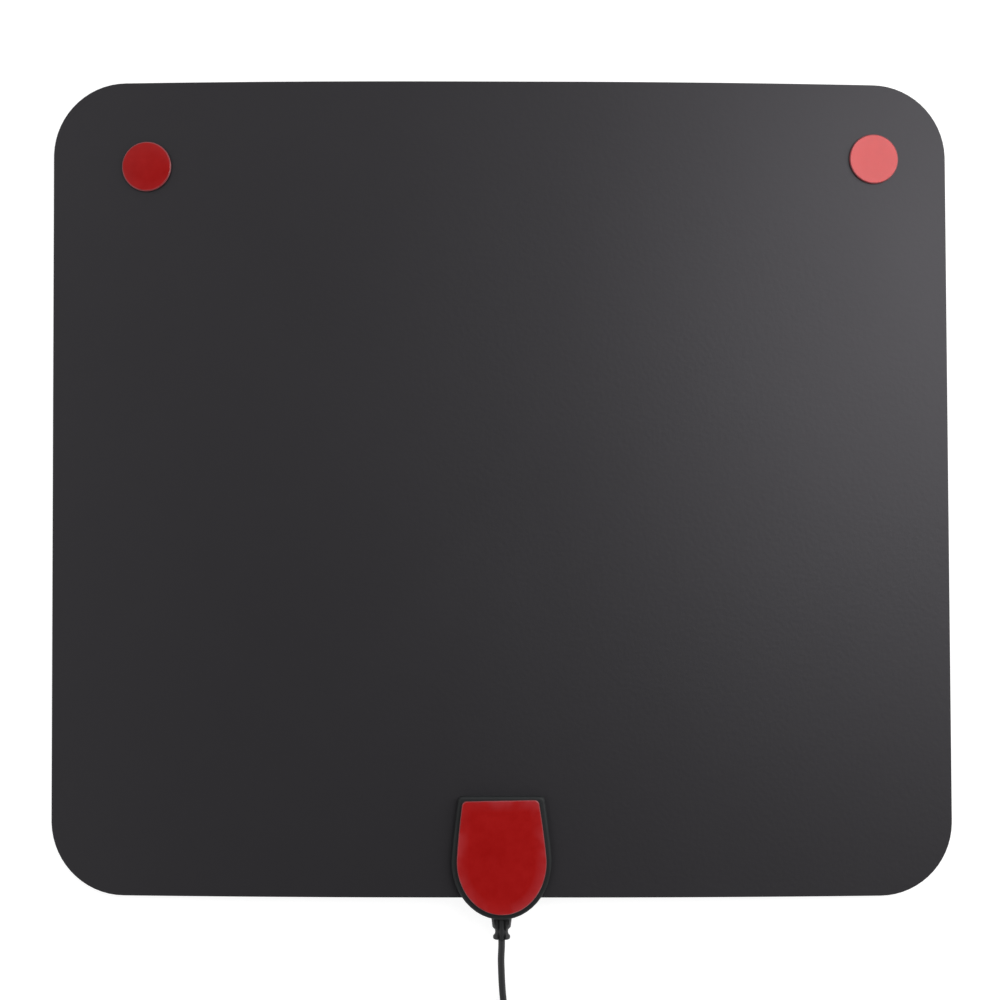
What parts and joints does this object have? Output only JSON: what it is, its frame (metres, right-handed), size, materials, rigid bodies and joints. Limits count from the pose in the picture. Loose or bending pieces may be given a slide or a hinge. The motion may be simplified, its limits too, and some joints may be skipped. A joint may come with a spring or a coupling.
{
  "type": "indoor tv antenna",
  "caption": "Flat rectangular indoor antenna sheet with a shield-shaped box on its lower edge, adhesive pads under red liners, and a coiled cord with a coaxial plug.",
  "frame": {"origin": "on the surface the antenna lies on, under the middle of its box without the free cord", "axes": "+X across the sheet, +Y up the sheet away from the box, +Z out of the adhesive side"},
  "size_m": [0.332, 0.4022, 0.011],
  "materials": {
    "sheet_film": "fine matte grain",
    "foil": "plain rolled foil",
    "box_shell": "fine spark-eroded satin",
    "screw_steel": "zinc plated",
    "board": "solder-masked laminate",
    "eyelet_brass": "tinned brass",
    "ferrite": "ground ferrite",
    "enamelled_wire": "enamelled copper",
    "chip": "fired ceramic",
    "cord_sheath": "satin sheath",
    "braid": "copper braid",
    "insulation": "translucent white",
    "inner_wire": "copper",
    "solder": "solder",
    "relief_plastic": "soft moulded plastic",
    "clear_tape": "clear acrylic adhesive",
    "red_liner": "glossy red film",
    "tie": "ribbed tie",
    "plug_plastic": "satin moulded grip",
    "plug_metal": "nickel plated",
    "plug_white": "white insulator"
  },
  "bodies": {
    "root": {"front_sheet": "sheet_film", "back_sheet": "sheet_film", "element_left": "foil", "element_right": "foil", "front_shell": "box_shell", "back_shell": "box_shell", "shell_screws": "screw_steel", "circuit_board": "board", "element_eyelets": "eyelet_brass", "balun_core": "ferrite", "balun_winding": "enamelled_wire", "chip_parts": "chip", "cable_sheath_end": "cord_sheath", "cable_braid": "braid", "cable_insulation": "insulation", "cable_inner_wire": "inner_wire", "solder_joints": "solder", "strain_relief": "relief_plastic", "corner_tape_left": "clear_tape", "corner_tape_right": "clear_tape", "corner_liner_left": "red_liner", "corner_liner_right": "red_liner", "box_tape": "clear_tape", "box_liner": "red_liner", "cord_lead": "cord_sheath", "cord_coil": "cord_sheath", "cord_tail": "cord_sheath", "coil_tie": "tie", "plug_grip": "plug_plastic", "plug_sleeve": "plug_metal", "plug_insulator": "plug_white", "plug_pin": "plug_metal"}
  },
  "joints": []
}
